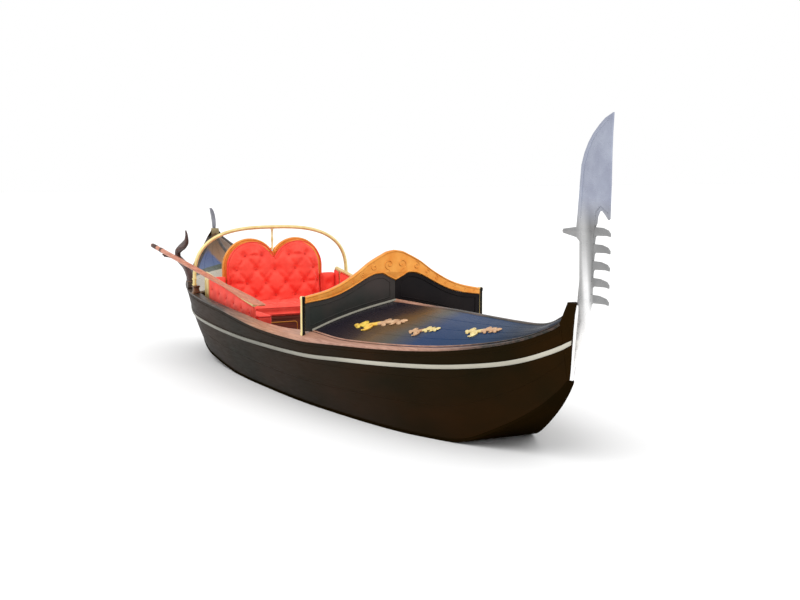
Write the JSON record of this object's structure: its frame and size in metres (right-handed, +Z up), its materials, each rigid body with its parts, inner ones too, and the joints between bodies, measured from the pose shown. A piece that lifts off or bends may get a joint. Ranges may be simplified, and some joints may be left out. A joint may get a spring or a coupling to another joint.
{
  "type": "small excursion gondola, a flat-bottomed rowing boat",
  "caption": "Flat-bottomed rowing boat with raised ends, toothed bow iron, gilded cross board, buttoned coral seats under a gold hoop, and an oar in a carved crutch.",
  "frame": {"origin": "on the flat underside of the bottom, on the centre line, amidships of the hull's planking", "axes": "+X to the bow, +Y to port, +Z up"},
  "size_m": [6.798, 1.6402, 2.054],
  "materials": {
    "hull_lacquer": "gloss black lacquer on planks, warm brown in the light",
    "cream_paint": "cream paint",
    "rail_wood": "brown varnish",
    "panel_lacquer": "gloss blue-black lacquer",
    "gilding": "gold paint on carved wood",
    "gilt_brass": "polished gilt brass",
    "bronze": "dark bronze",
    "red_wood": "red painted wood",
    "coral_cloth": "buttoned coral red cloth",
    "dark_wood": "dark oiled wood",
    "walnut": "oiled walnut, carved",
    "oar_wood": "red-brown varnish",
    "pale_iron": "pale brushed iron"
  },
  "bodies": {
    "hull": {"aft_bulkhead": "dark_wood", "after_deck_port": "hull_lacquer", "after_deck_starboard": "hull_lacquer", "back_cushion_port": "coral_cloth", "back_cushion_starboard": "coral_cloth", "bench_cushion_port": "coral_cloth", "bench_cushion_starboard": "coral_cloth", "bench_port": "red_wood", "bench_starboard": "red_wood", "board_crest": "gilding", "board_moulding": "cream_paint", "board_panel_port": "panel_lacquer", "board_panel_starboard": "panel_lacquer", "board_post_port": "gilding", "board_post_starboard": "gilding", "bow_iron": "pale_iron", "crutch": "walnut", "crutch_socket": "dark_wood", "floor_margin": "dark_wood", "floorboards": "dark_wood", "fore_bulkhead": "dark_wood", "foredeck_port": "hull_lacquer", "foredeck_starboard": "hull_lacquer", "gunwale_rail_port_aft": "rail_wood", "gunwale_rail_port_fore": "rail_wood", "gunwale_rail_starboard_aft": "rail_wood", "gunwale_rail_starboard_fore": "rail_wood", "hoop": "gilt_brass", "hoop_socket_port": "bronze", "hoop_socket_starboard": "bronze", "hoop_strut": "gilt_brass", "hull_bottom": "hull_lacquer", "hull_bottom_aft": "hull_lacquer", "hull_bottom_fore": "hull_lacquer", "rib_1": "dark_wood", "rib_2": "dark_wood", "rib_3": "dark_wood", "rib_4": "dark_wood", "rib_5": "dark_wood", "rub_strip_port": "cream_paint", "rub_strip_starboard": "cream_paint", "seat_back_frame": "gilding", "seat_base": "red_wood", "seat_cushion": "coral_cloth", "side_pad_port": "coral_cloth", "side_pad_starboard": "coral_cloth", "side_planking_port_aft": "hull_lacquer", "side_planking_port_fore": "hull_lacquer", "side_planking_port_middle": "hull_lacquer", "side_planking_starboard_aft": "hull_lacquer", "side_planking_starboard_fore": "hull_lacquer", "side_planking_starboard_middle": "hull_lacquer", "side_trim_port": "gilding", "side_trim_starboard": "gilding", "stem_post": "hull_lacquer", "stern_iron": "pale_iron", "stern_post": "hull_lacquer", "wing_pad_port": "coral_cloth", "wing_pad_starboard": "coral_cloth"},
    "oar": {"oar": "oar_wood"}
  },
  "joints": [
    {"name": "oar_sweep", "type": "hinge", "parent": "hull", "child": "oar", "pos_m": [-2.235, -0.8, 0.94833], "axis": [-0.1007, 0, -0.9949], "range_deg": [0, 75]}
  ]
}
